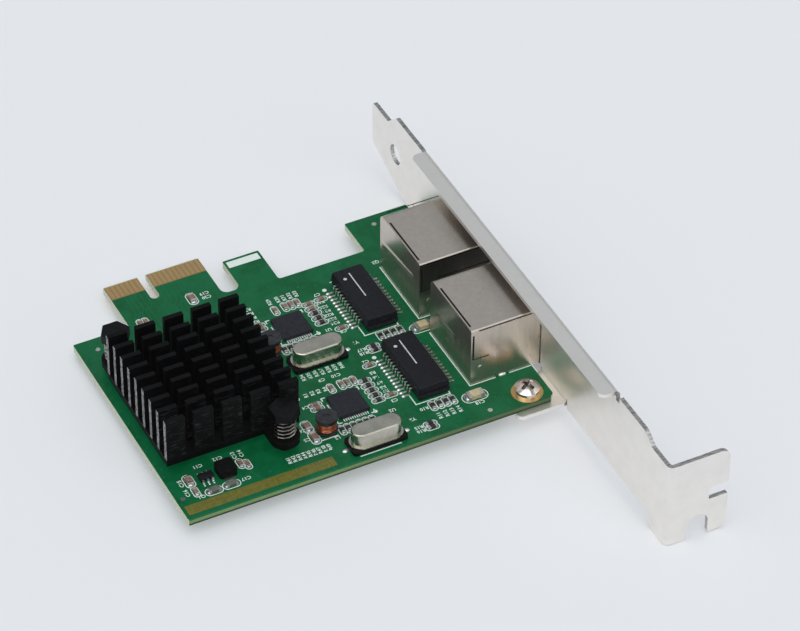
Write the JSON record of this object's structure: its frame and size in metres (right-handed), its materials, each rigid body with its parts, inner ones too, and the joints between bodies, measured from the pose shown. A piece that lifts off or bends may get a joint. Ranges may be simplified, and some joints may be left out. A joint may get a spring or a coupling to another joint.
{
  "type": "network interface card",
  "caption": "Expansion card with shielded network jacks, pin-fin heat sink, magnetics, crystals and a full-height folded steel bracket.",
  "frame": {"origin": "middle of the key notch, at the end of the contact tongue, halfway through the board", "axes": "+X toward the bracket and the jack mouths, +Y out of the contact tongue, +Z out of the component side"},
  "size_m": [0.0911, 0.1209, 0.0225],
  "materials": {
    "solder_mask": "semi-gloss green solder mask over fibreglass",
    "gold_plating": "plated gold",
    "bracket_steel": "nickel-plated steel, satin",
    "screw_steel": "polished nickel plating",
    "black_anodising": "black anodised",
    "thermal_filler": "soft grey silicone",
    "chip_epoxy": "moulded epoxy",
    "pin_plastic": "black nylon",
    "spring_steel": "bright wire",
    "shield_nickel": "nickel-plated brass, bright",
    "insert_plastic": "black moulded plastic",
    "tin_plating": "matt tin",
    "can_nickel": "satin nickel plating",
    "base_plastic": "black moulded plastic",
    "ferrite": "sintered ferrite",
    "enamelled_copper": "enamelled copper wire",
    "tan_ceramic": "fired ceramic",
    "black_ceramic": "glazed ceramic",
    "beige_ceramic": "fired ceramic"
  },
  "bodies": {
    "root": {"bracket": "bracket_steel", "bracket_screws": "screw_steel", "capacitor_bodies": "tan_ceramic", "capacitor_ends": "tin_plating", "circuit_board": "solder_mask", "contact_carrier_1": "insert_plastic", "contact_carrier_2": "insert_plastic", "crystal_base_1": "base_plastic", "crystal_base_2": "base_plastic", "crystal_can_1": "can_nickel", "crystal_can_2": "can_nickel", "crystal_tabs_1": "tin_plating", "crystal_tabs_2": "tin_plating", "drum_core_1": "ferrite", "drum_core_2": "ferrite", "drum_winding_1": "enamelled_copper", "drum_winding_2": "enamelled_copper", "edge_contacts": "gold_plating", "heat_sink_base": "black_anodising", "heat_sink_fins": "black_anodising", "isolation_capacitor_bodies": "beige_ceramic", "isolation_capacitor_ends": "tin_plating", "jack_contacts_1": "gold_plating", "jack_contacts_2": "gold_plating", "jack_insert_1": "insert_plastic", "jack_insert_2": "insert_plastic", "jack_shield_1": "shield_nickel", "jack_shield_2": "shield_nickel", "magnetics_leads_1": "tin_plating", "magnetics_leads_2": "tin_plating", "magnetics_module_1": "chip_epoxy", "magnetics_module_2": "chip_epoxy", "network_chip_1": "chip_epoxy", "network_chip_2": "chip_epoxy", "network_chip_lands_1": "tin_plating", "network_chip_lands_2": "tin_plating", "pin_springs": "spring_steel", "power_inductor": "base_plastic", "power_inductor_terminals": "tin_plating", "push_pins": "pin_plastic", "regulator_leads": "tin_plating", "resistor_bodies": "black_ceramic", "resistor_ends": "tin_plating", "ring_pads": "gold_plating", "solder_joints": "tin_plating", "switch_chip": "chip_epoxy", "thermal_pad": "thermal_filler", "voltage_regulator": "chip_epoxy"}
  },
  "joints": []
}
